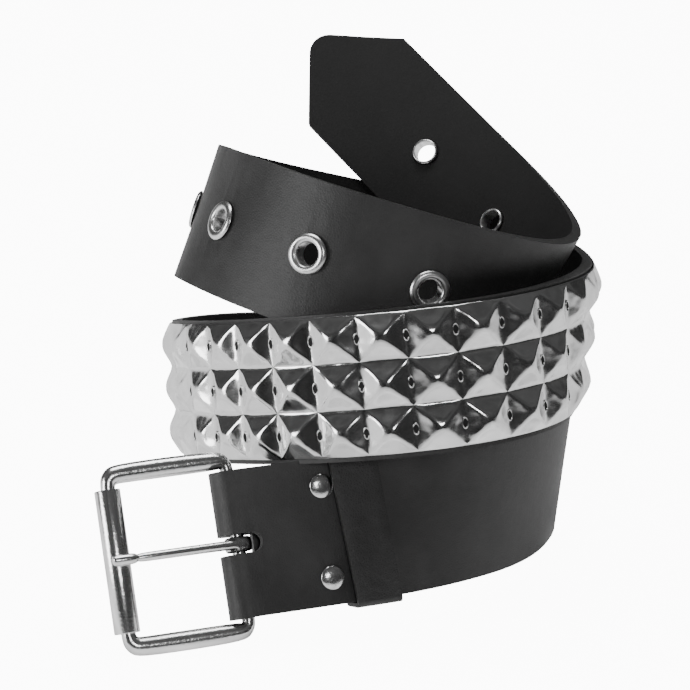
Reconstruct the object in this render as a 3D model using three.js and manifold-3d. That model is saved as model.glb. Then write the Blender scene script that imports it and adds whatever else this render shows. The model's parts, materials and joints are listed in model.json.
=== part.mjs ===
// A studded leather belt lying in a loose coil. The buckle is at the front, and the pointed tip
// rises at the back. The strap is one flat strip: it bends about its width and twists about its
// length, but never bends in its own plane, as leather does.
import * as THREE from 'three';
import { mergeVertices } from 'three/addons/utils/BufferGeometryUtils.js';
import Module from 'manifold-3d';

const wasm = await Module();
wasm.setup();

// Strap, in millimetres
const strapLength = 963;
const strapWidth = 40;
const leather = 3;
const tipLength = 19;
const tipRadius = 6;
const gap = 0.3;
// The lower edge is pressed flat by this much where the belt lies on it
const edgePress = 0.4;

// Pose of the strap where it folds round the buckle bar, in degrees
const startHeading = 17.84;
const startClimb = 2.69;
const startLean = 32.14;

// The strap's route from the fold to the tip: share of its length, bend and twist in degrees
const ROUTE = [
  { share: 0.04, bend: 1.5, twist: -9 },
  { share: 0.04, bend: 18, twist: -13 },
  { share: 0.04, bend: 32.5, twist: -8 },
  { share: 0.04, bend: 42.5, twist: -2 },
  { share: 0.04, bend: 40.5, twist: 3.5 },
  { share: 0.04, bend: 38, twist: -7 },
  { share: 0.04, bend: 39, twist: -8.5 },
  { share: 0.04, bend: 38.5, twist: -7.5 },
  { share: 0.04, bend: 32.5, twist: 0 },
  { share: 0.04, bend: 25, twist: -0.5 },
  { share: 0.04, bend: 41.5, twist: -4 },
  { share: 0.04, bend: 47.5, twist: -5 },
  { share: 0.04, bend: 37, twist: -13 },
  { share: 0.04, bend: 31.5, twist: 1 },
  { share: 0.04, bend: 35, twist: -5 },
  { share: 0.04, bend: 41.5, twist: -11 },
  { share: 0.04, bend: 44.5, twist: 3 },
  { share: 0.04, bend: 41, twist: 10.5 },
  { share: 0.04, bend: 37.5, twist: -8.5 },
  { share: 0.04, bend: 42, twist: 0.5 },
  { share: 0.04, bend: 50.5, twist: -13 },
  { share: 0.04, bend: 49.5, twist: -9.5 },
  { share: 0.04, bend: 32.5, twist: -11.5 },
  { share: 0.04, bend: 16, twist: -11.5 },
  { share: 0.04, bend: 2, twist: -8.5 },
];
const stepsPerRow = 20;
const sectionStep = 5;
const acrossParts = 2;

// Fold round the buckle's bar, with the short end riveted behind
const barRadius = 2;
const foldClearance = 0.35;
const flapLength = 46;
const flapTaper = 20;
const slotWidth = 5.4;
const slotReach = 11;
const slotBehind = 10;

// Rivets
const rivetSetback = 29;
const rivetSpread = 25;
const rivetHeadRadius = 3.5;
const rivetHeadHeight = 1;
const rivetBackHeight = 0.8;
const rivetShankRadius = 1.5;

// Keeper loop
const keeperSetback = 39.5;
const keeperWidth = 13;
const keeperThickness = 1.3;
const keeperSlant = -0.09;
const keeperSlack = 0.3;
const keeperRoom = 0.25;

// Pyramid studs
const studPitch = 12.7;
const studRows = 3;
const studColumns = 28;
const studsFrom = 264;
const studHeight = 4.3;
const studPlate = 0.8;
const studDent = 0.35;
const studOffset = 0.3;

// Eyelets
const eyeletCount = 8;
const eyeletPitch = 34;
const eyeletFromPoint = 51.5;
const eyeletHole = 3.25;
const eyeletBarrel = 3.85;
const eyeletFlange = 6;
const eyeletRoll = 1.15;
const eyeletClinch = 4.3;
const eyeletBackGap = 0.5;

// Buckle frame, roller and prong
const buckleReach = 33.5;
const windowSlack = 0.5;
const railHalfWidth = 2.9;
const railHalfThickness = 2.5;
const armRadius = 2;
const armCorner = 3.6;
const barCorner = 3;
const rollerRadius = 3.5;
const rollerClearance = 0.4;
const prongWidth = 4.4;
const prongRingWall = 1.65;
const prongShaft = 1.35;
const prongNeck = 1.05;
const prongLug = 1.65;
const lugLength = 6.5;
const lugPastRoller = 2.2;

// Round pieces are drawn with these many sides
const roundSides = 12;
const rodSides = 10;

const rad = THREE.MathUtils.degToRad;
const halfWidth = strapWidth / 2;
const face = leather / 2;

// Materials
const blackLeather = new THREE.MeshStandardMaterial({ color: 0x2b2b2b, roughness: 0.55, metalness: 0 });
const keeperLeather = new THREE.MeshStandardMaterial({ color: 0x262626, roughness: 0.6, metalness: 0 });
const chrome = new THREE.MeshStandardMaterial({ color: 0xd8d8da, roughness: 0.12, metalness: 1 });
const studChrome = new THREE.MeshStandardMaterial({ color: 0xd0d0d2, roughness: 0.1, metalness: 1 });

// Route: each station has a place and a turn; x runs along the strap, y up its width, z outward
function walkRoute() {
  const place = new THREE.Vector3();
  const turn = new THREE.Quaternion().setFromEuler(
    new THREE.Euler(Math.PI / 2 - rad(startLean), -rad(startClimb), rad(startHeading), 'ZYX'));
  const stations = [{ place: place.clone(), turn: turn.clone() }];
  const axis = new THREE.Vector3();
  for (const row of ROUTE) {
    const step = row.share * strapLength / stepsPerRow;
    const half = new THREE.Quaternion();
    axis.set(-rad(row.twist), rad(row.bend), 0).divideScalar(stepsPerRow);
    const angle = axis.length();
    half.setFromAxisAngle(axis.clone().normalize(), angle / 2);
    for (let i = 0; i < stepsPerRow; i += 1) {
      turn.multiply(half);
      place.add(new THREE.Vector3(step, 0, 0).applyQuaternion(turn));
      turn.multiply(half).normalize();
      stations.push({ place: place.clone(), turn: turn.clone() });
    }
  }
  return stations;
}

const stations = walkRoute();
const stationStep = strapLength / (stations.length - 1);

// The strap's frame at a distance from the fold's edge; before the edge it runs on straight
function frameAt(distance) {
  const at = THREE.MathUtils.clamp(distance / stationStep, 0, stations.length - 1);
  const index = Math.min(Math.floor(at), stations.length - 2);
  const from = stations[index];
  const to = stations[index + 1];
  const turn = from.turn.clone().slerp(to.turn, at - index);
  const place = from.place.clone().lerp(to.place, at - index);
  const past = distance - at * stationStep;
  place.add(new THREE.Vector3(past, 0, 0).applyQuaternion(turn));
  return { place, turn };
}

function inFrame(frame, x, y, z) {
  return new THREE.Vector3(x, y, z).applyQuaternion(frame.turn).add(frame.place);
}

function onStrap(distance, across, out) {
  return inFrame(frameAt(distance), 0, across, out);
}

// Closed mesh from rings of points; each ring runs anticlockwise seen from the far end
function skin(rings, closed = false) {
  const sides = rings[0].length;
  const points = rings.flat().flatMap((p) => [p.x, p.y, p.z]);
  const faces = [];
  const spans = closed ? rings.length : rings.length - 1;
  for (let i = 0; i < spans; i += 1) {
    const near = i * sides;
    const far = ((i + 1) % rings.length) * sides;
    for (let j = 0; j < sides; j += 1) {
      const next = (j + 1) % sides;
      faces.push(near + j, near + next, far + next, near + j, far + next, far + j);
    }
  }
  if (!closed) {
    const last = (rings.length - 1) * sides;
    for (let j = 1; j < sides - 1; j += 1) {
      faces.push(0, j + 1, j);
      faces.push(last, last + j, last + j + 1);
    }
  }
  const shape = new THREE.BufferGeometry();
  shape.setAttribute('position', new THREE.Float32BufferAttribute(points, 3));
  shape.setIndex(faces);
  return shape;
}

function solid(shape) {
  const bare = shape.clone();
  bare.deleteAttribute('normal');
  bare.deleteAttribute('uv');
  const merged = mergeVertices(bare, 1e-4);
  const vertProperties = new Float32Array(merged.attributes.position.array);
  const triVerts = new Uint32Array(merged.index.array);
  return new wasm.Manifold(new wasm.Mesh({ numProp: 3, vertProperties, triVerts }));
}

function shapeOf(body) {
  const mesh = body.getMesh();
  const shape = new THREE.BufferGeometry();
  shape.setAttribute('position', new THREE.BufferAttribute(mesh.vertProperties, 3));
  shape.setIndex(new THREE.BufferAttribute(mesh.triVerts, 1));
  return shape;
}

function inPlace(shape, frame) {
  return shape.clone().applyMatrix4(
    new THREE.Matrix4().compose(frame.place, frame.turn, new THREE.Vector3(1, 1, 1)));
}

// A turned piece whose axis points outward from the strap
function turnedOutward(profile, sides = roundSides) {
  const points = profile.map(([radius, out]) => new THREE.Vector2(radius, out));
  return new THREE.LatheGeometry(points, sides).rotateX(Math.PI / 2);
}

// A straight punch along the strap's thickness, for holes
function punch(radius, reach) {
  return new THREE.CylinderGeometry(radius, radius, 2 * reach, roundSides).rotateX(Math.PI / 2);
}

function oval(frame, halfY, halfZ, sides, turnBy = 0) {
  const ring = [];
  for (let j = 0; j < sides; j += 1) {
    const angle = turnBy + 2 * Math.PI * j / sides;
    ring.push(inFrame(frame, 0, halfY * Math.cos(angle), halfZ * Math.sin(angle)));
  }
  return ring;
}

// A flat band's section, anticlockwise seen from the strap's tip end, with its long sides in parts
function bandOutline(from, to, low, high, parts) {
  const outline = [];
  for (let i = 0; i <= parts; i += 1) {
    outline.push([THREE.MathUtils.lerp(from, to, i / parts), low]);
  }
  for (let i = parts; i >= 0; i -= 1) {
    outline.push([THREE.MathUtils.lerp(from, to, i / parts), high]);
  }
  return outline;
}

function mesh(name, shape, material) {
  const piece = new THREE.Mesh(shape, material);
  piece.name = name;
  return piece;
}

// Fold: the leather goes round the bar and lies doubled behind
const foldInside = barRadius + foldClearance;
const foldMiddle = foldInside + face;
const foldOutside = foldInside + leather;
const barSetback = foldOutside;
const backLayer = leather + gap;

function barFrame() {
  const frame = frameAt(barSetback);
  return { place: inFrame(frame, 0, 0, -foldMiddle), turn: frame.turn };
}

function flapDepth(distance) {
  const closing = THREE.MathUtils.smoothstep(distance, barSetback, barSetback + flapTaper);
  return THREE.MathUtils.lerp(2 * foldMiddle, backLayer, closing);
}

function strapFrames() {
  const aboutWidth = (angle) => new THREE.Quaternion().setFromAxisAngle(new THREE.Vector3(0, 1, 0), angle);
  const frames = [];
  const flapSteps = Math.round(flapLength / sectionStep);
  for (let i = flapSteps; i > 0; i -= 1) {
    const distance = barSetback + flapLength * i / flapSteps;
    const frame = frameAt(distance);
    const place = inFrame(frame, 0, 0, -flapDepth(distance));
    frames.push({ place, turn: frame.turn.clone().multiply(aboutWidth(-Math.PI)), reach: halfWidth });
  }
  const bar = barFrame();
  const foldSteps = 8;
  for (let i = 0; i <= foldSteps; i += 1) {
    const turn = bar.turn.clone().multiply(aboutWidth(-Math.PI * (1 - i / foldSteps)));
    const place = new THREE.Vector3(0, 0, foldMiddle).applyQuaternion(turn).add(bar.place);
    frames.push({ place, turn, reach: halfWidth });
  }
  const shoulder = strapLength - tipLength;
  const mainSteps = Math.round((shoulder - barSetback) / sectionStep);
  for (let i = 1; i <= mainSteps; i += 1) {
    const distance = barSetback + (shoulder - barSetback) * i / mainSteps;
    frames.push({ ...frameAt(distance), reach: halfWidth });
  }
  // The point: two straight sides that run into a rounded end
  const roundReach = tipRadius * Math.SQRT1_2;
  const roundLength = tipRadius - roundReach;
  for (const share of [0.5, 1]) {
    const left = THREE.MathUtils.lerp(tipLength, roundLength, share);
    const reach = THREE.MathUtils.lerp(halfWidth, roundReach, share);
    frames.push({ ...frameAt(strapLength - left), reach });
  }
  for (const angle of [30, 15, 4]) {
    const left = tipRadius * (1 - Math.cos(rad(angle)));
    frames.push({ ...frameAt(strapLength - left), reach: tipRadius * Math.sin(rad(angle)) });
  }
  return frames;
}

function slotPunch() {
  const half = slotWidth / 2;
  const outline = new THREE.Shape();
  outline.moveTo(-foldOutside - gap, -half);
  outline.lineTo(slotReach - half, -half);
  outline.absarc(slotReach - half, 0, half, -Math.PI / 2, Math.PI / 2, false);
  outline.lineTo(-foldOutside - gap, half);
  outline.closePath();
  const front = new THREE.ExtrudeGeometry(outline, { depth: foldOutside + leather, bevelEnabled: false, curveSegments: 8 });
  front.translate(0, 0, -foldMiddle);
  const back = new THREE.BoxGeometry(slotBehind + foldOutside, slotWidth, foldOutside + leather);
  back.translate((slotBehind - foldOutside) / 2, 0, -foldMiddle - (foldOutside + leather) / 2 + gap);
  return solid(inPlace(front, frameAt(0))).add(solid(inPlace(back, frameAt(0))));
}

function strapShape() {
  const rings = strapFrames().map((frame) => bandOutline(-frame.reach, frame.reach, -face, face, acrossParts)
    .map(([across, out]) => inFrame(frame, 0, across, out)));
  let body = solid(skin(rings)).subtract(slotPunch());
  for (const distance of eyeletPlaces()) {
    body = body.subtract(solid(inPlace(punch(eyeletBarrel + gap, leather), frameAt(distance))));
  }
  for (const across of rivetRows()) {
    const frame = frameAt(rivetSetback);
    const place = inFrame(frame, 0, across, -backLayer / 2);
    body = body.subtract(solid(inPlace(punch(rivetShankRadius + gap, 2 * leather), { place, turn: frame.turn })));
  }
  const floor = body.boundingBox().min[2] + edgePress;
  return shapeOf(body.trimByPlane([0, 0, 1], floor));
}

// Keeper: a closed leather loop round the strap and its folded end
function keeperShape() {
  const low = -face - backLayer - gap - rivetBackHeight - keeperRoom;
  const high = face + gap + rivetHeadHeight + keeperRoom;
  const box = (grow, corner) => {
    const outline = new THREE.Shape();
    const y = halfWidth + keeperSlack + grow;
    const bottom = low - grow;
    const top = high + grow;
    outline.moveTo(-y + corner, bottom);
    for (let i = 1; i <= acrossParts; i += 1) {
      outline.lineTo((y - corner) * (2 * i / acrossParts - 1), bottom);
    }
    outline.absarc(y - corner, bottom + corner, corner, -Math.PI / 2, 0, false);
    outline.lineTo(y, top - corner);
    outline.absarc(y - corner, top - corner, corner, 0, Math.PI / 2, false);
    for (let i = 1; i <= acrossParts; i += 1) {
      outline.lineTo((y - corner) * (1 - 2 * i / acrossParts), top);
    }
    outline.absarc(-y + corner, top - corner, corner, Math.PI / 2, Math.PI, false);
    outline.lineTo(-y, bottom + corner);
    outline.absarc(-y + corner, bottom + corner, corner, Math.PI, 1.5 * Math.PI, false);
    return outline.getPoints(3).slice(0, -1);
  };
  const tube = (outline, overrun) => {
    const rings = [];
    const steps = 5;
    for (let i = 0; i <= steps; i += 1) {
      const along = (keeperWidth + 2 * overrun) * (i / steps - 0.5);
      rings.push(outline.map((p) => onStrap(keeperSetback + along + keeperSlant * p.x, p.x, p.y)));
    }
    return solid(skin(rings));
  };
  const innerCorner = 0.6;
  return shapeOf(tube(box(keeperThickness, innerCorner + keeperThickness), 0).subtract(tube(box(0, innerCorner), 1)));
}

function rivetRows() {
  return [rivetSpread / 2, -rivetSpread / 2];
}

function rivetShape() {
  const top = face + gap;
  const bottom = -face - backLayer - gap;
  const crown = 0.6 * rivetHeadRadius;
  return turnedOutward([
    [0, bottom - rivetBackHeight],
    [crown, bottom - rivetBackHeight],
    [rivetHeadRadius, bottom - 0.4 * rivetBackHeight],
    [rivetHeadRadius, bottom],
    [rivetShankRadius, bottom],
    [rivetShankRadius, top],
    [rivetHeadRadius, top],
    [rivetHeadRadius, top + 0.3 * rivetHeadHeight],
    [crown, top + 0.85 * rivetHeadHeight],
    [0, top + rivetHeadHeight],
  ]);
}

function eyeletPlaces() {
  const last = strapLength - eyeletFromPoint;
  return Array.from({ length: eyeletCount }, (_, i) => last - eyeletPitch * (eyeletCount - 1 - i));
}

function eyeletShape() {
  const under = face + gap;
  const back = -face - eyeletBackGap;
  const middle = (eyeletHole + eyeletFlange) / 2;
  const half = (eyeletFlange - eyeletHole) / 2;
  return turnedOutward([
    [eyeletHole, back - 0.5 * eyeletRoll],
    [eyeletHole + 0.3, back - 0.75 * eyeletRoll],
    [eyeletClinch - 0.3, back - 0.6 * eyeletRoll],
    [eyeletClinch, back],
    [eyeletBarrel, back],
    [eyeletBarrel, under],
    [eyeletFlange, under],
    [eyeletFlange, under + 0.3 * eyeletRoll],
    [middle + 0.6 * half, under + 0.85 * eyeletRoll],
    [middle, under + eyeletRoll],
    [middle - 0.7 * half, under + 0.8 * eyeletRoll],
    [eyeletHole, under + 0.2 * eyeletRoll],
    [eyeletHole, back - 0.5 * eyeletRoll],
  ]);
}

// Studs: one sheet of pyramids with dented sides, whose underside follows the leather
function studFieldShape() {
  const low = face + gap;
  const sill = low + studPlate;
  const points = [];
  const faces = [];
  const add = (distance, across, out) => {
    points.push(onStrap(distance, across, out));
    return points.length - 1;
  };
  const seam = (row) => studOffset + studPitch * (row - studRows / 2);
  const under = [];
  for (let i = 0; i <= 2 * studColumns; i += 1) {
    const distance = studsFrom + studPitch * i / 2;
    under.push(Array.from({ length: studRows + 1 }, (_, row) => add(distance, seam(row), low)));
  }
  const over = [];
  for (let column = 0; column <= studColumns; column += 1) {
    const distance = studsFrom + studPitch * column;
    over.push(Array.from({ length: studRows + 1 }, (_, row) => add(distance, seam(row), sill)));
  }
  for (let i = 0; i < 2 * studColumns; i += 1) {
    for (let row = 0; row < studRows; row += 1) {
      const [a, b, c, d] = [under[i][row], under[i][row + 1], under[i + 1][row + 1], under[i + 1][row]];
      faces.push(a, b, c, a, c, d);
    }
  }
  for (let column = 0; column < studColumns; column += 1) {
    for (let row = 0; row < studRows; row += 1) {
      addPyramid(column, row, [
        over[column][row], over[column + 1][row], over[column + 1][row + 1], over[column][row + 1]]);
    }
    for (const row of [0, studRows]) {
      const wall = [over[column][row], over[column + 1][row]];
      const foot = [under[2 * column][row], under[2 * column + 1][row], under[2 * column + 2][row]];
      const strips = [[foot[0], foot[1], wall[0]], [wall[0], foot[1], wall[1]], [foot[1], foot[2], wall[1]]];
      strips.forEach(([a, b, c]) => faces.push(...(row === 0 ? [a, b, c] : [a, c, b])));
    }
  }
  for (let row = 0; row < studRows; row += 1) {
    const near = [under[0][row], under[0][row + 1], over[0][row + 1], over[0][row]];
    const far = [under.at(-1)[row], under.at(-1)[row + 1], over.at(-1)[row + 1], over.at(-1)[row]];
    faces.push(near[0], near[2], near[1], near[0], near[3], near[2]);
    faces.push(far[0], far[1], far[2], far[0], far[2], far[3]);
  }

  function addPyramid(column, row, corners) {
    const frame = frameAt(studsFrom + studPitch * (column + 0.5));
    const middle = studOffset + studPitch * (row + 0.5 - studRows / 2);
    const at = (x, y, out) => {
      points.push(inFrame(frame, x, middle + y, out));
      return points.length - 1;
    };
    const peak = at(0, 0, low + studHeight);
    // a third of the way from each side to the peak, where the side is pressed in
    const reach = studPitch / 3 - studDent;
    const rise = sill + (low + studHeight - sill) / 3 - studDent;
    [[0, -1], [1, 0], [0, 1], [-1, 0]].forEach(([x, y], i) => {
      const dent = at(x * reach, y * reach, rise);
      const next = corners[(i + 1) % 4];
      faces.push(corners[i], next, dent, next, peak, dent, peak, corners[i], dent);
    });
  }

  const shape = new THREE.BufferGeometry();
  shape.setAttribute('position', new THREE.Float32BufferAttribute(points.flatMap((p) => p.toArray()), 3));
  shape.setIndex(faces);
  return shape;
}

// Buckle: everything is placed from the bar in the fold; x points back along the strap
const railMiddle = halfWidth + windowSlack + railHalfWidth;

function buckleFrameShape() {
  const bar = barFrame();
  const rings = [];
  const addSection = (x, y, heading, halfPlane, halfThickness) => {
    // at heading 0 the rod runs along +x, at 90 along +y
    const turn = bar.turn.clone().multiply(
      new THREE.Quaternion().setFromAxisAngle(new THREE.Vector3(0, 0, 1), rad(heading)));
    rings.push(oval({ place: inFrame(bar, x, y, 0), turn }, halfPlane, halfThickness, rodSides));
  };
  const corner = (cx, cy, radius, from, widths) => {
    widths.forEach(([halfPlane, halfThickness], i) => {
      const angle = from + 90 * i / (widths.length - 1);
      const x = cx + radius * Math.cos(rad(angle));
      const y = cy + radius * Math.sin(rad(angle));
      addSection(x, y, angle + 90, halfPlane, halfThickness);
    });
  };
  const thin = [armRadius, armRadius];
  const rail = [railHalfWidth, railHalfThickness];
  const mid = [(armRadius + railHalfWidth) / 2, (armRadius + railHalfThickness) / 2];
  corner(-barCorner, railMiddle - barCorner, barCorner, 0, [[barRadius, barRadius], thin, mid, rail]);
  corner(-buckleReach + armCorner, railMiddle - armCorner, armCorner, 90, [rail, rail, mid, thin]);
  corner(-buckleReach + armCorner, -railMiddle + armCorner, armCorner, 180, [thin, mid, rail, rail]);
  corner(-barCorner, -railMiddle + barCorner, barCorner, 270, [rail, mid, thin, [barRadius, barRadius]]);
  return skin(rings, true);
}

function rollerShape() {
  const half = railMiddle - armCorner - gap;
  const inner = armRadius + rollerClearance;
  const profile = [[inner, -half], [rollerRadius, -half], [rollerRadius, half], [inner, half], [inner, -half]];
  return new THREE.LatheGeometry(profile.map(([r, y]) => new THREE.Vector2(r, y)), roundSides);
}

function prongShape() {
  const inner = barRadius + foldClearance;
  const outer = inner + prongRingWall;
  const half = prongWidth / 2;
  const profile = [[inner, -half], [outer, -half], [outer, half], [inner, half], [inner, -half]];
  const ring = new THREE.LatheGeometry(profile.map(([r, y]) => new THREE.Vector2(r, y)), roundSides);
  const rest = rollerRadius + gap;
  const tipEnd = -buckleReach - lugPastRoller;
  const wall = prongRingWall / 2;
  const sections = [
    { x: 0, out: inner + wall, across: prongShaft, deep: 0.95 * wall },
    { x: -outer, out: inner + wall + 0.2 * prongShaft, across: prongShaft, deep: prongShaft },
    { x: -0.6 * buckleReach, out: rest + prongShaft, across: prongShaft, deep: prongShaft },
    { x: tipEnd + lugLength + prongNeck, out: rest + prongShaft, across: prongShaft, deep: prongShaft },
    { x: tipEnd + lugLength + 0.5 * prongNeck, out: rest + prongShaft, across: prongNeck, deep: prongNeck },
    { x: tipEnd + lugLength, out: rest + prongLug, across: prongNeck, deep: prongNeck },
    { x: tipEnd + lugLength - 0.4 * prongNeck, out: rest + prongLug, across: prongLug, deep: prongLug },
    { x: tipEnd + 0.5 * prongNeck, out: rest + prongLug, across: prongLug, deep: prongLug },
    { x: tipEnd, out: rest + prongLug, across: 0.7 * prongLug, deep: 0.7 * prongLug },
  ];
  const straight = new THREE.Quaternion().setFromAxisAngle(new THREE.Vector3(0, 1, 0), Math.PI);
  const rings = sections.map(({ x, out, across, deep }) => oval(
    { place: new THREE.Vector3(x, 0, out), turn: straight }, across, deep, rodSides));
  return shapeOf(solid(ring).add(solid(skin(rings))));
}

const belt = new THREE.Group();
belt.add(mesh('strap', strapShape(), blackLeather));
belt.add(mesh('keeper_loop', keeperShape(), keeperLeather));
belt.add(mesh('stud_field', studFieldShape(), studChrome));

function seat(piece, frame) {
  piece.position.copy(frame.place);
  piece.quaternion.copy(frame.turn);
  belt.add(piece);
}

rivetRows().forEach((across, i) => {
  const frame = frameAt(rivetSetback);
  seat(mesh(`rivet_${i + 1}`, rivetShape(), chrome), { place: inFrame(frame, 0, across, 0), turn: frame.turn });
});
eyeletPlaces().forEach((distance, i) => {
  seat(mesh(`eyelet_${i + 1}`, eyeletShape(), chrome), frameAt(distance));
});

belt.add(mesh('buckle_frame', buckleFrameShape(), chrome));
const bar = barFrame();
seat(mesh('roller', rollerShape(), chrome), { place: inFrame(bar, -buckleReach, 0, 0), turn: bar.turn });
seat(mesh('prong', prongShape(), chrome), bar);

// The origin is at the middle of the belt's footprint, on the surface that it lies on
belt.updateMatrixWorld(true);
const extent = new THREE.Box3().setFromObject(belt, true);
const middle = extent.getCenter(new THREE.Vector3());
belt.position.set(-middle.x, -middle.y, -extent.min.z);
belt.updateMatrixWorld(true);

export default belt;
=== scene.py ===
# %% [markdown]
# A studded leather belt lies in a loose coil on a pale table. The construction is finished before this
# file starts: the frame holds every solid at its real size. Here each piece gets the surface that the
# eye meets: rounded plating, notched studs, leather with two different sides.

import json
import math

import bpy
from mathutils import Matrix, Vector


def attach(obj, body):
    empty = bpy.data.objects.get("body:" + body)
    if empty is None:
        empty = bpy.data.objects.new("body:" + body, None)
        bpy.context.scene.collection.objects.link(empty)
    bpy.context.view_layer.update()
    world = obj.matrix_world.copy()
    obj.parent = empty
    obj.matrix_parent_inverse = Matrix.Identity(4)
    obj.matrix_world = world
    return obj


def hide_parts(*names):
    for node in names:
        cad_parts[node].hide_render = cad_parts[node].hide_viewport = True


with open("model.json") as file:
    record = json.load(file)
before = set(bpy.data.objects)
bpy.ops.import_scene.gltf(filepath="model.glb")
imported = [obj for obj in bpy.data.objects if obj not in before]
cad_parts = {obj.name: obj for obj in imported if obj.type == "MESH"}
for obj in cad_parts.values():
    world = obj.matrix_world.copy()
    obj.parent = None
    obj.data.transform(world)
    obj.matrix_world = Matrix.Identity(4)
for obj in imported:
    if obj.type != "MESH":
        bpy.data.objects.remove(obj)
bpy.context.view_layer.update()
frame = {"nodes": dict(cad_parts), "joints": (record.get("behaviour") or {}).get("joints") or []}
nodes = frame["nodes"]
joints = {joint["name"]: joint for joint in frame["joints"]}
mm = 0.001

# %% [markdown]
# A camera is a place and three directions. The belt was seen from the front, about twenty degrees
# above the table, with a long lens that keeps the strap's two edges almost parallel. The camera
# leans a little to one side, so its directions are written out instead of aimed at a point.

# %% Camera
camera_place = Vector((-16.87, -680.93, 332.59)) * mm
camera_right = Vector((0.99876, 0.00073, 0.04979))
camera_up = Vector((-0.04641, 0.37566, 0.92559))
view_angle = math.radians(15.52)


def add_camera():
    data = bpy.data.cameras.new("camera")
    data.sensor_fit = "HORIZONTAL"
    data.angle = view_angle
    camera = bpy.data.objects.new("camera", data)
    bpy.context.collection.objects.link(camera)
    back = camera_right.cross(camera_up).normalized()
    up = back.cross(camera_right).normalized()
    turn = Matrix((camera_right.normalized(), up, back)).transposed().to_4x4()
    camera.matrix_world = Matrix.Translation(camera_place) @ turn
    bpy.context.scene.camera = camera
    return camera


camera = add_camera()
print("camera lens", round(camera.data.lens, 1), "mm")

# %% [markdown]
# Shader maths reads best as plain expressions. This small class wraps one output socket of a node
# tree, so that a line such as 0.4 + 0.2 * noise builds its Math nodes by itself. Every node
# comes from one function that takes its type, its settings and the values or links of its inputs.

# %% Sockets that can be added and multiplied
# The outputs of the Texture Coordinate node by number: for a room, the first is the direction
generated_place = 0
object_place = 3


class Socket:
    def __init__(self, tree, output):
        self.tree = tree
        self.output = output

    def maths(self, operation, first, second):
        return add_node(self.tree, "ShaderNodeMath", {"operation": operation}, {0: first, 1: second})

    def __add__(self, other):
        return self.maths("ADD", self, other)

    def __radd__(self, other):
        return self.maths("ADD", other, self)

    def __sub__(self, other):
        return self.maths("SUBTRACT", self, other)

    def __rsub__(self, other):
        return self.maths("SUBTRACT", other, self)

    def __mul__(self, other):
        return self.maths("MULTIPLY", self, other)

    def __rmul__(self, other):
        return self.maths("MULTIPLY", other, self)


def add_node(tree, kind, settings=None, inputs=None, output=0):
    node = tree.nodes.new(kind)
    for name, value in (settings or {}).items():
        setattr(node, name, value)
    for name, value in (inputs or {}).items():
        if value is None:
            continue
        if isinstance(value, Socket):
            tree.links.new(value.output, node.inputs[name])
        else:
            node.inputs[name].default_value = value
    return Socket(tree, node.outputs[output])


def spread(value, low, high, to_low=0.0, to_high=1.0):
    """The value's range from low to high, stretched to a new range and held there."""
    sockets = {"Value": value, "From Min": low, "From Max": high, "To Min": to_low, "To Max": to_high}
    return add_node(value.tree, "ShaderNodeMapRange", {"clamp": True}, sockets)


def coordinates(place):
    """The x, y and z of a place or a direction, as three sockets."""
    first = add_node(place.tree, "ShaderNodeSeparateXYZ", {}, {0: place})
    return [Socket(place.tree, output) for output in first.output.node.outputs]


def blend_colours(factor, dark, light):
    """Dark where the factor is 0 and light where it is 1. Inputs 6 and 7 are the Mix node's colours."""
    sockets = {0: factor, 6: dark, 7: light}
    return add_node(factor.tree, "ShaderNodeMix", {"data_type": "RGBA"}, sockets, 2)


def new_material(name):
    material = bpy.data.materials.new(name)
    material.use_nodes = True
    tree = material.node_tree
    surface = tree.nodes["Principled BSDF"]
    place = add_node(tree, "ShaderNodeTexCoord", output=object_place)
    return material, tree, surface, place


def noise(place, size, detail, roughness=0.5):
    """Soft noise whose patches are about size metres wide."""
    return add_node(place.tree, "ShaderNodeTexNoise", {"noise_dimensions": "3D"},
                    {"Vector": place, "Scale": 1 / size, "Detail": detail, "Roughness": roughness})


def bump(height, depth, normal=None):
    sockets = {"Height": height, "Distance": depth, "Strength": 1.0, "Normal": normal}
    return add_node(height.tree, "ShaderNodeBump", {}, sockets)


def join(value, shader, name):
    value.tree.links.new(value.output, shader.inputs[name])


def grey(level):
    return (level, level, level, 1.0)


print("shader helpers ready")

# %% [markdown]
# The belt's outer side is smooth dyed leather. It has a fine pebbled grain, softer and harder patches
# of shine, and faint creases. The grain could be an image, but a cell pattern used as a shallow bump
# stays sharp close up, and real pebbling is far too small to model.

# %% Leather, grain side
pebble_size = 0.75 * mm
pore_size = 0.35 * mm
crease_size = 5 * mm
patch_size = 16 * mm
worn_lightening = 1.7


def make_grain_leather(name, base, pebble_depth, shine, crease_depth):
    material, tree, surface, place = new_material(name)
    cells = add_node(tree, "ShaderNodeTexVoronoi", {"feature": "DISTANCE_TO_EDGE"},
                     {"Vector": place, "Scale": 1 / pebble_size, "Randomness": 0.9})
    pebbles = spread(cells, 0.0, 0.32)
    patches = noise(place, patch_size, 3)
    pores = noise(place, pore_size, 2)
    creases = spread(noise(place, crease_size, 4, 0.6), 0.35, 0.65)
    wear = spread(patches, 0.42, 0.72)
    join(blend_colours(wear, grey(base), grey(worn_lightening * base)), surface, "Base Color")
    join(shine + 0.14 * patches + 0.08 * pores, surface, "Roughness")
    fine = bump(pebbles + 0.35 * pores, pebble_depth)
    join(bump(creases, crease_depth, fine), surface, "Normal")
    surface.inputs["Specular IOR Level"].default_value = 0.55
    return material


grain_leather = make_grain_leather("strap_grain", base=0.026, pebble_depth=0.03 * mm, shine=0.38,
                                   crease_depth=0.04 * mm)
keeper_leather = make_grain_leather("keeper_grain", base=0.018, pebble_depth=0.05 * mm, shine=0.36,
                                    crease_depth=0.1 * mm)
print("grain leather", grain_leather.name, keeper_leather.name)

# %% [markdown]
# The inner side is the flesh side: matt, napped, almost black. The cut edge is dyed and rubbed, a
# little glossier than the nap. Both are plain noise, since neither shows a clear pattern.

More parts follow.
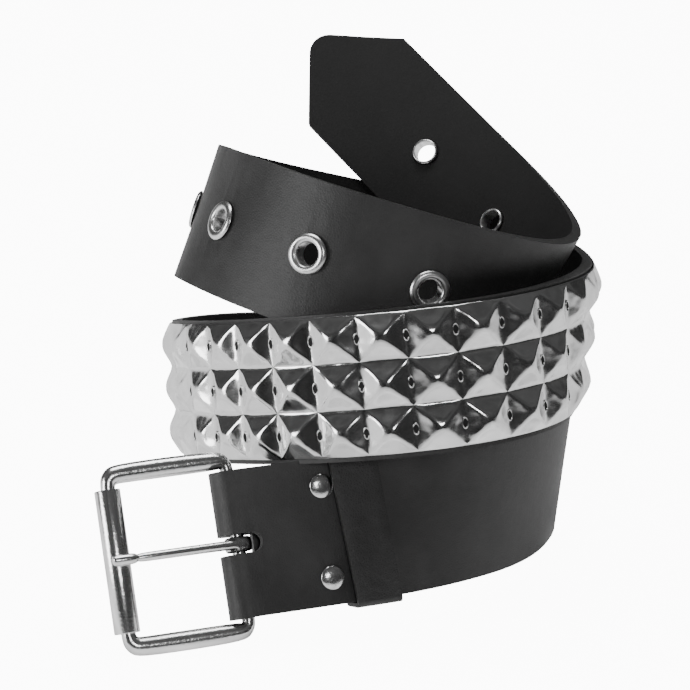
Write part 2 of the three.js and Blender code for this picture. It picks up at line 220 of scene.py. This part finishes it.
# %% Leather, flesh side and cut edge
nap_size = 0.5 * mm
nap_depth = 0.12 * mm
nap_patch_size = 11 * mm
edge_fibre_size = 0.8 * mm
edge_fibre_depth = 0.08 * mm


def make_flesh_leather():
    material, tree, surface, place = new_material("strap_flesh")
    fibres = noise(place, nap_size, 4, 0.7)
    patches = noise(place, nap_patch_size, 3)
    join(blend_colours(patches, grey(0.006), grey(0.014)), surface, "Base Color")
    join(0.62 + 0.2 * fibres, surface, "Roughness")
    join(bump(fibres, nap_depth), surface, "Normal")
    return material


def make_edge_leather():
    material, tree, surface, place = new_material("strap_edge")
    fibres = noise(place, edge_fibre_size, 3, 0.6)
    join(blend_colours(fibres, grey(0.012), grey(0.05)), surface, "Base Color")
    join(0.38 + 0.2 * fibres, surface, "Roughness")
    join(bump(fibres, edge_fibre_depth), surface, "Normal")
    return material


flesh_leather = make_flesh_leather()
edge_leather = make_edge_leather()
print("flesh and edge ready")

# %% [markdown]
# The metal is bright plating over steel and zinc. Plating is almost a mirror, so it is fully metallic
# and nearly smooth. It is never quite even: a slow waviness bends the reflections, and faint haze,
# tiny dents and scratches break them up. The cast buckle is rougher than the pressed studs.

# %% Plated metal
cloud_size = 7 * mm
speck_size = 0.5 * mm
dent_size = 0.9 * mm
scratch_size = 1.4 * mm


def make_plating(name, tone, haze, wave_size, wave_depth, dent_depth):
    material, tree, surface, place = new_material(name)
    cloud = noise(place, cloud_size, 4, 0.6)
    specks = noise(place, speck_size, 3, 0.7)
    waves = noise(place, wave_size, 1)
    dents = noise(place, dent_size, 2, 0.6)
    stretched = add_node(tree, "ShaderNodeMapping", {}, {"Vector": place, "Scale": (1.0, 1.0, 9.0)})
    scratches = spread(noise(stretched, scratch_size, 5, 0.8), 0.6, 0.68)
    surface.inputs["Metallic"].default_value = 1.0
    join(blend_colours(cloud, grey(tone), grey(0.82 * tone)), surface, "Base Color")
    join(haze + 0.08 * cloud + 0.04 * specks + 0.06 * scratches, surface, "Roughness")
    join(bump(waves, wave_depth, bump(dents, dent_depth)), surface, "Normal")
    return material


buckle_plating = make_plating("buckle_plating", tone=0.9, haze=0.15, wave_size=6 * mm,
                              wave_depth=0.08 * mm, dent_depth=0.05 * mm)
stud_plating = make_plating("stud_plating", tone=0.86, haze=0.1, wave_size=5 * mm,
                            wave_depth=0.3 * mm, dent_depth=0.008 * mm)
eyelet_plating = make_plating("eyelet_plating", tone=0.9, haze=0.22, wave_size=4 * mm,
                              wave_depth=0.04 * mm, dent_depth=0.01 * mm)
print("plating ready")

# %% [markdown]
# A stud is a hollow cap, so the small notch at its rim looks into shade. Hardly any light comes back
# out of it. A hole could be cut into the sheet, but instead a dull, nearly black colour paints that
# shade.

# %% Painted shade in a stud's notch
shade_speck_size = 0.6 * mm


def make_painted_hole_shade():
    material, tree, surface, place = new_material("stud_hole_painted_shade")
    # Painted shade: the notch's inside is nearly black, with faint specks from soft noise.
    shade_speck = noise(place, shade_speck_size, 2)
    join(blend_colours(shade_speck, grey(0.004), grey(0.012)), surface, "Base Color")
    surface.inputs["Roughness"].default_value = 0.8
    return material


painted_hole_shade = make_painted_hole_shade()
print("hollow ready")

# %% [markdown]
# A piece that follows a solid starts as a copy of its mesh. The frame's meshes are loose triangles, so
# the copy is merged first. Where it is to be rounded, its flat pairs of triangles are joined into
# quads, which round off more evenly.

# %% Working copies of the solids
merge_distance = 0.002 * mm
quad_fold = math.radians(30)
quad_skew = math.radians(50)


def deselect_all():
    bpy.ops.object.select_all(action="DESELECT")


def activate(piece):
    deselect_all()
    piece.select_set(True)
    bpy.context.view_layer.objects.active = piece


def copy_solid(node, name, quads=True):
    piece = bpy.data.objects.new(name, nodes[node].data.copy())
    bpy.context.collection.objects.link(piece)
    piece.data.materials.clear()
    activate(piece)
    bpy.ops.object.mode_set(mode="EDIT")
    bpy.ops.mesh.select_all(action="SELECT")
    bpy.ops.mesh.remove_doubles(threshold=merge_distance)
    if quads:
        bpy.ops.mesh.tris_convert_to_quads(face_threshold=quad_fold, shape_threshold=quad_skew)
    bpy.ops.mesh.customdata_custom_splitnormals_clear()
    bpy.ops.object.mode_set(mode="OBJECT")
    return piece


def crease_sharp_edges(piece, degrees, weight):
    activate(piece)
    bpy.ops.object.mode_set(mode="EDIT")
    bpy.ops.mesh.select_mode(type="EDGE")
    bpy.ops.mesh.select_all(action="DESELECT")
    bpy.ops.mesh.edges_select_sharp(sharpness=math.radians(degrees))
    bpy.ops.transform.edge_crease(value=weight)
    bpy.ops.object.mode_set(mode="OBJECT")


def subdivide(piece, levels):
    activate(piece)
    rounding = piece.modifiers.new("rounding", "SUBSURF")
    rounding.levels = levels
    rounding.render_levels = levels
    bpy.ops.object.modifier_apply(modifier=rounding.name)


def smooth(piece, degrees):
    activate(piece)
    bpy.ops.object.shade_smooth_by_angle(angle=math.radians(degrees))


def finish_piece(piece, body, node, material=None):
    if material:
        piece.data.materials.append(material)
    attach(piece, body)
    if node:
        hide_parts(node)
    print(piece.name, len(piece.data.polygons), "faces")


print("solids can be copied")

# %% [markdown]
# The strap is one strip with three finishes. Its faces are sorted by direction: a face that looks up
# or down is a cut edge, one that looks away from the middle of the coil is the grain side, and one
# that looks inwards is the flesh side. The strip could be rounded by subdivision, but its solid is
# already fine enough: only its shading is softened across the small steps.

# %% Strap
edge_steepness = 0.72
coil_middle = Vector((0.0, 2.0, 0.0)) * mm


def sort_strap_faces(strap):
    grain, flesh, edge = range(3)
    for face in strap.data.polygons:
        from_middle = face.center - coil_middle
        outward = face.normal.x * from_middle.x + face.normal.y * from_middle.y
        if abs(face.normal.z) > edge_steepness:
            face.material_index = edge
        elif outward > 0:
            face.material_index = grain
        else:
            face.material_index = flesh


strap = copy_solid("strap", "strap_leather", quads=False)
for side in (grain_leather, flesh_leather, edge_leather):
    strap.data.materials.append(side)
sort_strap_faces(strap)
smooth(strap, degrees=30)
finish_piece(strap, "belt", "strap")

# %% [markdown]
# The keeper is a band of thinner leather round the strap. Its solid already wraps the strap and its
# fold, so it is copied and not drawn anew. A bevel rounds its cut edges a little, which gives each one
# the thin line of light that real leather has.

# %% Keeper
keeper_round = 0.35 * mm
keeper = copy_solid("keeper_loop", "keeper_band")
edge_round = keeper.modifiers.new("edge_round", "BEVEL")
edge_round.width = keeper_round
edge_round.segments = 2
edge_round.angle_limit = math.radians(50)
bpy.ops.object.modifier_apply(modifier=edge_round.name)
smooth(keeper, degrees=40)
finish_piece(keeper, "belt", "keeper_loop", keeper_leather)

# %% [markdown]
# Each stud is pressed from sheet: four slightly hollow sides that meet in ridges. The solid has a few
# flat facets a side. They could be dented one by one, but subdivision turns all of them at once into
# hollow curves. The ridges are creased in part, which keeps them narrow, so that each one catches a
# line of light.

# %% Studs
ridge_degrees = 22
ridge_crease = 0.3
seam_degrees = 22
seam_rise = 0.05 * mm
seam_steepness = 0.7
shortest_seam = 11.5 * mm
longest_seam = 14 * mm
stud_field = copy_solid("stud_field", "pyramid_studs", quads=False)


def find_valleys(field):
    """The seams between columns of studs, each as its middle, its direction and the way out."""
    faces_of = {}
    for face in field.data.polygons:
        for key in face.edge_keys:
            faces_of.setdefault(key, []).append(face)
    valleys = []
    for key, faces in faces_of.items():
        first, second = (field.data.vertices[index].co for index in key)
        run = second - first
        if len(faces) != 2 or not shortest_seam < run.length < longest_seam:
            continue
        outward = (faces[0].normal + faces[1].normal).normalized()
        middle = (first + second) / 2
        rises = all((face.center - middle).dot(outward) > seam_rise for face in faces)
        turned = faces[0].normal.angle(faces[1].normal) > math.radians(seam_degrees)
        if rises and turned and abs(run.normalized().z) > seam_steepness:
            valleys.append((middle, run.normalized(), outward))
    return valleys


valleys = find_valleys(stud_field)
print("seams between columns", len(valleys))
crease_sharp_edges(stud_field, ridge_degrees, ridge_crease)
subdivide(stud_field, levels=3)
smooth(stud_field, degrees=24)
finish_piece(stud_field, "belt", "stud_field", stud_plating)

# %% [markdown]
# Where two studs of a row meet, the pressed sheet is notched for the prongs that clench through the
# leather. Each notch shows as a small dark oval with a bright lip; the dark oval is painted shade.
# Cutting every hole could tear the rounded sheet, so one lip and one shallow pit that carries the
# painted shade are modelled, then copied to every seam and joined. A ray finds the rounded surface under
# each seam's middle, and the notch is seated there.

# %% Notches
stud_height = 4.3 * mm
notch_half_width = 0.75 * mm
notch_half_length = 1.5 * mm
lip_radius = 0.11 * mm
notch_rise = 0.12 * mm
notch_sides = 16
lip_wire_sides = 6
pit_rim = 0.2 * mm
pit_depth = 0.03 * mm


def make_notch_parts():
    deselect_all()
    bpy.ops.mesh.primitive_torus_add(major_radius=notch_half_width, minor_radius=lip_radius,
                                     major_segments=notch_sides, minor_segments=lip_wire_sides)
    lip = bpy.context.object
    deselect_all()
    bpy.ops.mesh.primitive_circle_add(vertices=notch_sides, radius=notch_half_width, fill_type="NGON")
    shade_pit = bpy.context.object
    for part in (lip, shade_pit):
        activate(part)
        bpy.ops.object.mode_set(mode="EDIT")
        bpy.ops.mesh.select_all(action="SELECT")
        bpy.ops.transform.resize(value=(1, notch_half_length / notch_half_width, 1))
        bpy.ops.object.mode_set(mode="OBJECT")
    activate(shade_pit)
    bpy.ops.object.mode_set(mode="EDIT")
    bpy.ops.mesh.select_all(action="SELECT")
    bpy.ops.mesh.inset(thickness=pit_rim)
    bpy.ops.transform.translate(value=(0, 0, -pit_depth))
    bpy.ops.object.mode_set(mode="OBJECT")
    return lip, shade_pit


def copy_to_valleys(part, name):
    copies = []
    for middle, run, outward in valleys:
        side = run.cross(outward).normalized()
        square = side.cross(run).normalized()
        turn = Matrix((side, run, square)).transposed().to_4x4()
        seat = stud_field.ray_cast(middle + stud_height * square, -square)[1]
        piece = bpy.data.objects.new(name, part.data.copy())
        bpy.context.collection.objects.link(piece)
        piece.data.transform(Matrix.Translation(seat + notch_rise * square) @ turn)
        copies.append(piece)
    deselect_all()
    for piece in copies:
        piece.select_set(True)
    bpy.context.view_layer.objects.active = copies[0]
    bpy.ops.object.join()
    bpy.data.objects.remove(part)
    return copies[0]


lip, shade_pit = make_notch_parts()
lips = copy_to_valleys(lip, "notch_lips")
# The pits carry painted shade: a nearly black oval in each notch, where the inside of the cap lies in
# shadow.
shade_pits = copy_to_valleys(shade_pit, "notch_shade_pits")
smooth(lips, degrees=60)
finish_piece(lips, "belt", None, stud_plating)
finish_piece(shade_pits, "belt", None, painted_hole_shade)

# %% [markdown]
# Small turned and cast parts are round on the real belt. They could be spun anew, but their solids
# have the right sections already, so a copy's flat sides are rounded by subdivision. Smooth shading
# alone would leave corners that the bright finish would show at once.

# %% Rivets, eyelets, buckle frame and prong
def round_off(node, name, body, material):
    piece = copy_solid(node, name)
    subdivide(piece, levels=2)
    smooth(piece, degrees=60)
    finish_piece(piece, body, node, material)


for number in (1, 2):
    round_off(f"rivet_{number}", f"rivet_cap_{number}", "belt", buckle_plating)
for number in range(1, 9):
    round_off(f"eyelet_{number}", f"eyelet_ring_{number}", "belt", eyelet_plating)
round_off("buckle_frame", "buckle_ring", "buckle", buckle_plating)
round_off("prong", "prong_pin_round", "prong_pin", buckle_plating)

# %% [markdown]
# The roller is a thin tube on the frame's outer arm. Its section could be spun about the arm, but a
# cylinder with many sides is simpler. Its ends are inset and pushed in to show the tube's wall, and its
# rims are bevelled, because a rolled rim is never sharp.

# %% Roller
roller_length = 38.5 * mm
roller_radius = 3.5 * mm
roller_wall = 0.9 * mm
roller_sides = 48
end_facing = 0.9
mouth_depth = 0.6 * mm
rim_round = 0.25 * mm


def make_roller():
    spin = joints["roller_spin"]
    axis = Vector(spin["axis"]).normalized()
    turn = Vector((0, 0, 1)).rotation_difference(axis)
    deselect_all()
    bpy.ops.mesh.primitive_cylinder_add(vertices=roller_sides, radius=roller_radius, depth=roller_length,
                                        end_fill_type="NGON", location=spin["pos_m"],
                                        rotation=turn.to_euler())
    tube = bpy.context.object
    tube.name = "roller_tube_round"
    bpy.ops.object.transform_apply(location=True, rotation=True, scale=True)
    bpy.ops.object.mode_set(mode="EDIT")
    bpy.ops.mesh.select_mode(type="FACE")
    bpy.ops.mesh.select_all(action="DESELECT")
    bpy.ops.object.mode_set(mode="OBJECT")
    for face in tube.data.polygons:
        face.select = abs(face.normal.dot(axis)) > end_facing
    bpy.ops.object.mode_set(mode="EDIT")
    bpy.ops.mesh.inset(thickness=roller_wall)
    bpy.ops.mesh.extrude_region_shrink_fatten(TRANSFORM_OT_shrink_fatten={"value": -mouth_depth})
    bpy.ops.object.mode_set(mode="OBJECT")
    rim = tube.modifiers.new("rim", "BEVEL")
    rim.width = rim_round
    rim.segments = 2
    rim.angle_limit = math.radians(40)
    bpy.ops.object.modifier_apply(modifier=rim.name)
    return tube


roller = make_roller()
smooth(roller, degrees=35)
finish_piece(roller, "roller_tube", "roller", buckle_plating)

# %% [markdown]
# The table is one wide pale plane that glows, as a light table does in a cut-out picture. Seen by the
# camera it is almost white. In the plating it is a softer white round the belt and dark in front,
# where the photographer stands: that draws the dark side of every stud. Soft patches in that glow
# keep the mirrored faces from looking flat.

# %% Table
seen_glow = 11.0
table_glow = 0.85
dark_glow = 0.2
dark_until = -0.42
bright_from = -0.14
table_patch_size = 0.035
table_tone_size = 0.3
table_width = 12.0
table_drop = 0.15 * mm


def add_table():
    deselect_all()
    bpy.ops.mesh.primitive_plane_add(size=table_width, location=(0, 0, -table_drop))
    table = bpy.context.object
    table.name = "table"
    material, tree, surface, place = new_material("table_white")
    tone = noise(place, table_tone_size, 1)
    across, away, height = coordinates(place)
    clutter = spread(noise(place, table_patch_size, 2), 0.3, 0.7, 0.15, 1.25)
    mirrored = clutter * spread(away, dark_until, bright_from, dark_glow, table_glow)
    join(blend_colours(tone, grey(0.84), grey(0.86)), surface, "Base Color")
    surface.inputs["Roughness"].default_value = 0.8
    surface.inputs["Specular IOR Level"].default_value = 0.1
    surface.inputs["Emission Color"].default_value = grey(1.0)
    seen = add_node(tree, "ShaderNodeLightPath")
    glow = mirrored + seen * (seen_glow - mirrored)
    join(glow, surface, "Emission Strength")
    table.data.materials.append(material)


add_table()
print("table ready")

# %% [markdown]
# A large soft panel overhead and one at the left light the belt, and a small one in front adds crisp
# highlights. Soft panels suit metal: it mirrors them as wide bands instead of hard dots.

# %% Panels
belt_middle = Vector((0.0, 0.0, 0.05))


def add_panel(name, place, width, height, power):
    data = bpy.data.lights.new(name, "AREA")
    data.shape = "RECTANGLE"
    data.size = width
    data.size_y = height
    data.energy = power
    panel = bpy.data.objects.new(name, data)
    bpy.context.collection.objects.link(panel)
    panel.location = place
    panel.rotation_euler = (belt_middle - Vector(place)).to_track_quat("-Z", "Y").to_euler()


add_panel("panel_top", place=(-0.1, 0.25, 1.1), width=0.7, height=0.5, power=7)
add_panel("panel_left", place=(-1.1, -0.5, 0.3), width=0.5, height=0.5, power=6)
add_panel("panel_front", place=(0.25, -1.2, 0.75), width=0.3, height=0.25, power=2.5)
print("three panels")

# %% [markdown]
# The room is bright behind the belt and at both sides, and dim only round the camera: that is what
# draws the light and dark sides of the metal. Its strength follows directions in the room and not in
# the picture, so it is the same in every view. A photographed room could be wrapped round the belt
# instead, but a few soft steps and a little uneven noise are easier to tune.

# %% Room
room_patch_size = 0.25
dim_room = 0.19
side_glow = 0.75
left_glow = 0.15
ceiling_glow = 1.1


def set_room():
    world = bpy.data.worlds.new("room")
    world.use_nodes = True
    bpy.context.scene.world = world
    tree = world.node_tree
    direction = add_node(tree, "ShaderNodeTexCoord", output=generated_place)
    across, away, height = coordinates(direction)
    sides = spread(away, -0.9, -0.1, 0.0, side_glow)
    left = spread(across, -0.9, -0.3, left_glow, 0.0)
    above = spread(height, 0.0, 0.7, 0.0, ceiling_glow)
    clutter = spread(noise(direction, room_patch_size, 2), 0.3, 0.7, 0.25, 1.5)
    strength = dim_room + clutter * (sides + left + above)
    join(strength, tree.nodes["Background"], "Strength")


set_room()
print("room ready")
